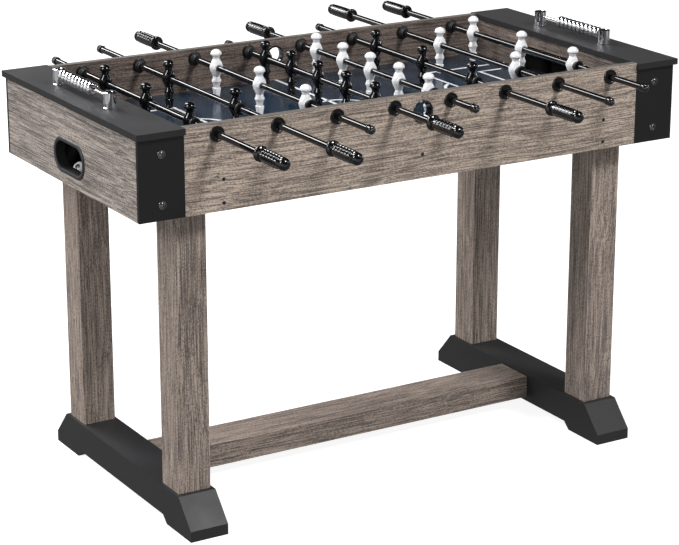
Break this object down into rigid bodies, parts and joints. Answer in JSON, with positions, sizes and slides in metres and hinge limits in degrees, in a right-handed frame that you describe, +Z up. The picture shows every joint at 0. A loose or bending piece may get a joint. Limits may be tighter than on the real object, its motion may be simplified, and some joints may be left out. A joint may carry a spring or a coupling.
{
  "type": "foosball table",
  "caption": "Free-standing table football game: a walled playfield on four legs, crossed by sliding, spinning rods of men with handles, with goals, ball returns and bead scorers.",
  "frame": {"origin": "on the floor, under the middle of the table", "axes": "+X along the table, -Y to its front, +Z up"},
  "size_m": [1.2192, 1.169, 0.842],
  "materials": {
    "apron_wood": "grey-brown driftwood laminate, satin",
    "end_wood": "paler grey-beige driftwood laminate, satin",
    "inner_wood": "dark grey-brown driftwood laminate, satin",
    "charcoal_board": "matte charcoal laminate on board",
    "black_board": "near-black painted board, low sheen",
    "playfield_print": "dark navy printed board with white lines, semi-gloss",
    "return_plastic": "moulded dark grey plastic, satin",
    "black_plastic": "moulded black plastic, semi-gloss",
    "chrome": "bright chrome plating",
    "black_man": "gloss black men on a gloss black rod",
    "white_man": "gloss white men on a gloss black rod",
    "grip_plastic": "gloss black ribbed grip",
    "cap_plastic": "gloss black cap",
    "bumper_rubber": "matt black rubber"
  },
  "bodies": {
    "table": {"front_apron": "apron_wood", "back_apron": "apron_wood", "stretcher": "apron_wood", "left_front_leg": "apron_wood", "left_back_leg": "apron_wood", "right_front_leg": "apron_wood", "right_back_leg": "apron_wood", "left_end_apron": "end_wood", "right_end_apron": "end_wood", "left_goal_wall": "inner_wood", "right_goal_wall": "inner_wood", "left_top_cap": "charcoal_board", "right_top_cap": "charcoal_board", "left_foot": "charcoal_board", "right_foot": "charcoal_board", "left_front_corner_board": "black_board", "left_back_corner_board": "black_board", "right_front_corner_board": "black_board", "right_back_corner_board": "black_board", "playfield": "playfield_print", "left_ball_return": "return_plastic", "right_ball_return": "return_plastic", "front_serve_cup": "black_plastic", "back_serve_cup": "black_plastic", "left_scorer_frame": "chrome", "right_scorer_frame": "chrome"},
    "black_goalie_slider": {"black_goalie_bumper": "bumper_rubber"},
    "black_goalie_rod": {"black_goalie_rod_and_men": "black_man", "black_goalie_handle": "grip_plastic", "black_goalie_end_cap": "cap_plastic"},
    "black_defence_slider": {"black_defence_bumper": "bumper_rubber"},
    "black_defence_rod": {"black_defence_rod_and_men": "black_man", "black_defence_handle": "grip_plastic", "black_defence_end_cap": "cap_plastic"},
    "white_attack_slider": {"white_attack_bumper": "bumper_rubber"},
    "white_attack_rod": {"white_attack_rod_and_men": "white_man", "white_attack_handle": "grip_plastic", "white_attack_end_cap": "cap_plastic"},
    "black_midfield_slider": {"black_midfield_bumper": "bumper_rubber"},
    "black_midfield_rod": {"black_midfield_rod_and_men": "black_man", "black_midfield_handle": "grip_plastic", "black_midfield_end_cap": "cap_plastic"},
    "white_midfield_slider": {"white_midfield_bumper": "bumper_rubber"},
    "white_midfield_rod": {"white_midfield_rod_and_men": "white_man", "white_midfield_handle": "grip_plastic", "white_midfield_end_cap": "cap_plastic"},
    "black_attack_slider": {"black_attack_bumper": "bumper_rubber"},
    "black_attack_rod": {"black_attack_rod_and_men": "black_man", "black_attack_handle": "grip_plastic", "black_attack_end_cap": "cap_plastic"},
    "white_defence_slider": {"white_defence_bumper": "bumper_rubber"},
    "white_defence_rod": {"white_defence_rod_and_men": "white_man", "white_defence_handle": "grip_plastic", "white_defence_end_cap": "cap_plastic"},
    "white_goalie_slider": {"white_goalie_bumper": "bumper_rubber"},
    "white_goalie_rod": {"white_goalie_rod_and_men": "white_man", "white_goalie_handle": "grip_plastic", "white_goalie_end_cap": "cap_plastic"},
    "left_beads": {"left_scorer_beads": "chrome"},
    "right_beads": {"right_scorer_beads": "chrome"}
  },
  "joints": [
    {"name": "black_goalie_slide", "type": "slide", "parent": "table", "child": "black_goalie_slider", "axis": [0, 1, 0], "range_m": [-0.0654, 0.0817]},
    {"name": "black_goalie_spin", "type": "hinge", "parent": "black_goalie_slider", "child": "black_goalie_rod", "pos_m": [-0.4445, -0.008, 0.788], "axis": [0, 1, 0], "continuous": true},
    {"name": "black_defence_slide", "type": "slide", "parent": "table", "child": "black_defence_slider", "axis": [0, 1, 0], "range_m": [-0.1234, 0.1077]},
    {"name": "black_defence_spin", "type": "hinge", "parent": "black_defence_slider", "child": "black_defence_rod", "pos_m": [-0.3175, 0.008, 0.788], "axis": [0, 1, 0], "continuous": true},
    {"name": "white_attack_slide", "type": "slide", "parent": "table", "child": "white_attack_slider", "axis": [0, 1, 0], "range_m": [-0.0769, 0.0702]},
    {"name": "white_attack_spin", "type": "hinge", "parent": "white_attack_slider", "child": "white_attack_rod", "pos_m": [-0.1905, 0.0035, 0.788], "axis": [0, 1, 0], "continuous": true},
    {"name": "black_midfield_slide", "type": "slide", "parent": "table", "child": "black_midfield_slider", "axis": [0, 1, 0], "range_m": [-0.0298, 0.0481]},
    {"name": "black_midfield_spin", "type": "hinge", "parent": "black_midfield_slider", "child": "black_midfield_rod", "pos_m": [-0.0635, -0.009, 0.788], "axis": [0, 1, 0], "continuous": true},
    {"name": "white_midfield_slide", "type": "slide", "parent": "table", "child": "white_midfield_slider", "axis": [0, 1, 0], "range_m": [-0.0388, 0.0391]},
    {"name": "white_midfield_spin", "type": "hinge", "parent": "white_midfield_slider", "child": "white_midfield_rod", "pos_m": [0.0635, 0, 0.788], "axis": [0, 1, 0], "continuous": true},
    {"name": "black_attack_slide", "type": "slide", "parent": "table", "child": "black_attack_slider", "axis": [0, 1, 0], "range_m": [-0.0754, 0.0717]},
    {"name": "black_attack_spin", "type": "hinge", "parent": "black_attack_slider", "child": "black_attack_rod", "pos_m": [0.1905, 0.002, 0.788], "axis": [0, 1, 0], "continuous": true},
    {"name": "white_defence_slide", "type": "slide", "parent": "table", "child": "white_defence_slider", "axis": [0, 1, 0], "range_m": [-0.1074, 0.1237]},
    {"name": "white_defence_spin", "type": "hinge", "parent": "white_defence_slider", "child": "white_defence_rod", "pos_m": [0.3175, -0.008, 0.788], "axis": [0, 1, 0], "continuous": true},
    {"name": "white_goalie_slide", "type": "slide", "parent": "table", "child": "white_goalie_slider", "axis": [0, 1, 0], "range_m": [-0.0854, 0.0617]},
    {"name": "white_goalie_spin", "type": "hinge", "parent": "white_goalie_slider", "child": "white_goalie_rod", "pos_m": [0.4445, 0.012, 0.788], "axis": [0, 1, 0], "continuous": true},
    {"name": "left_beads_slide", "type": "slide", "parent": "table", "child": "left_beads", "axis": [0, 1, 0], "range_m": [-0.056, 0]},
    {"name": "right_beads_slide", "type": "slide", "parent": "table", "child": "right_beads", "axis": [0, 1, 0], "range_m": [0, 0.056]}
  ]
}
